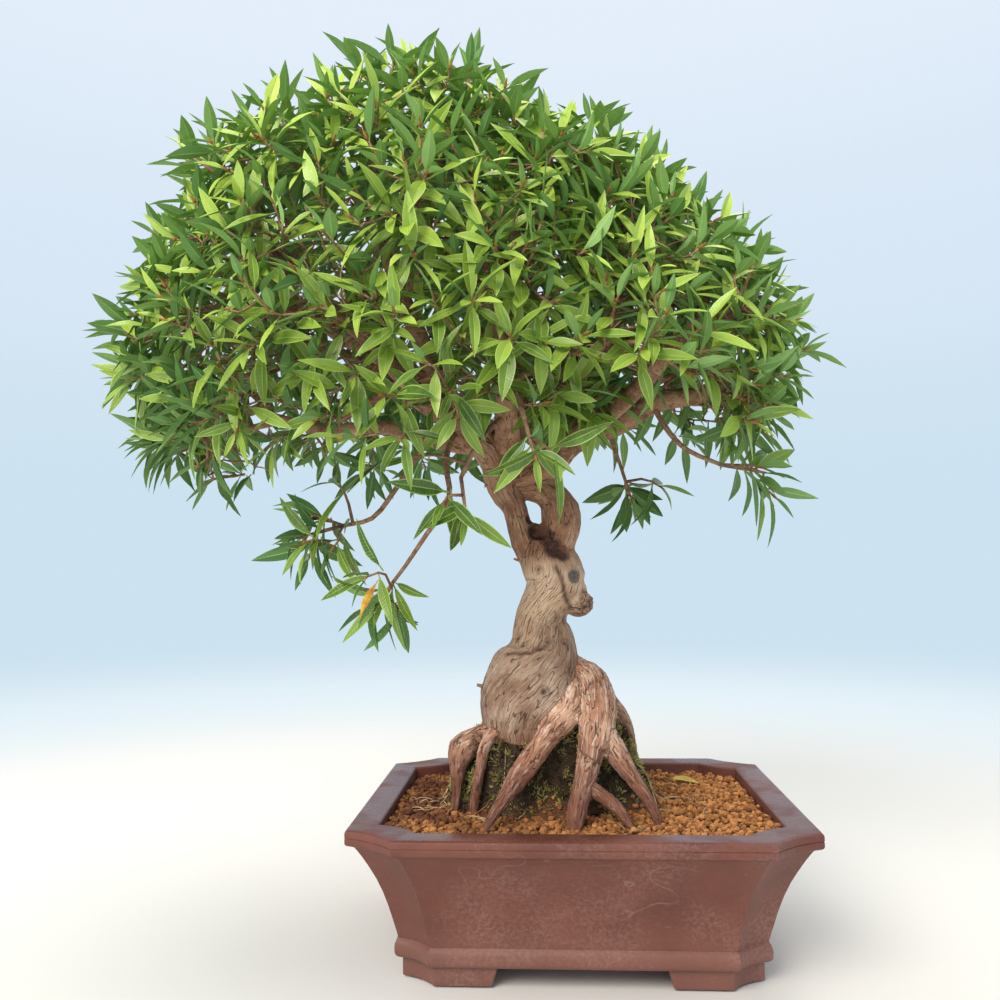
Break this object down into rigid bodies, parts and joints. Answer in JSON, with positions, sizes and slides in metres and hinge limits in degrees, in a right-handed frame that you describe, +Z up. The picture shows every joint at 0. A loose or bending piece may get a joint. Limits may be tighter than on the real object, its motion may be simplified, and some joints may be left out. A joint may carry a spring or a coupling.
{
  "type": "potted bonsai tree",
  "caption": "Willow leaf fig bonsai with a swollen trunk on exposed roots and a broad leafy crown, planted in a rectangular clay pot with cut corners and feet.",
  "frame": {"origin": "on the ground, under the middle of the box round the whole tree and pot; the pot stands to the right of it", "axes": "+Z up, +X to the right as seen from the front, +Y away from the viewer, with the pot's long sides along X"},
  "size_m": [0.5522, 0.3688, 0.6771],
  "materials": {
    "unglazed_clay": "fired and unglazed, fine grained, with a soft sheen on the rim",
    "netting": "dull moulded mesh",
    "baked_clay_soil": "loose grains, dull and slightly damp",
    "bark": "thin smooth bark with knots and fine cracks",
    "leaf": "leathery leaves, semi gloss above and matt below"
  },
  "bodies": {
    "root": {"pot": "unglazed_clay", "drain_mesh_left": "netting", "drain_mesh_right": "netting", "soil": "baked_clay_soil", "trunk_and_branches": "bark", "leaf_spray_01": "leaf", "leaf_spray_02": "leaf", "leaf_spray_03": "leaf", "leaf_spray_04": "leaf", "leaf_spray_05": "leaf", "leaf_spray_06": "leaf", "leaf_spray_07": "leaf", "leaf_spray_08": "leaf", "leaf_spray_09": "leaf", "leaf_spray_10": "leaf", "leaf_spray_11": "leaf", "leaf_spray_12": "leaf", "leaf_spray_13": "leaf", "leaf_spray_14": "leaf", "leaf_spray_15": "leaf", "leaf_spray_16": "leaf", "leaf_spray_17": "leaf", "leaf_spray_18": "leaf", "leaf_spray_19": "leaf", "leaf_spray_20": "leaf", "leaf_spray_21": "leaf", "leaf_spray_22": "leaf", "leaf_spray_23": "leaf", "leaf_spray_24": "leaf", "leaf_spray_25": "leaf", "leaf_spray_26": "leaf", "leaf_spray_27": "leaf", "leaf_spray_28": "leaf", "leaf_spray_29": "leaf", "leaf_spray_30": "leaf", "leaf_spray_31": "leaf", "leaf_spray_32": "leaf", "leaf_spray_33": "leaf", "leaf_spray_34": "leaf", "leaf_spray_35": "leaf", "leaf_spray_36": "leaf", "leaf_spray_37": "leaf", "leaf_spray_38": "leaf", "leaf_spray_39": "leaf", "leaf_spray_40": "leaf", "leaf_spray_41": "leaf", "leaf_spray_42": "leaf", "leaf_spray_43": "leaf", "leaf_spray_44": "leaf", "leaf_spray_45": "leaf", "leaf_spray_46": "leaf"}
  },
  "joints": []
}
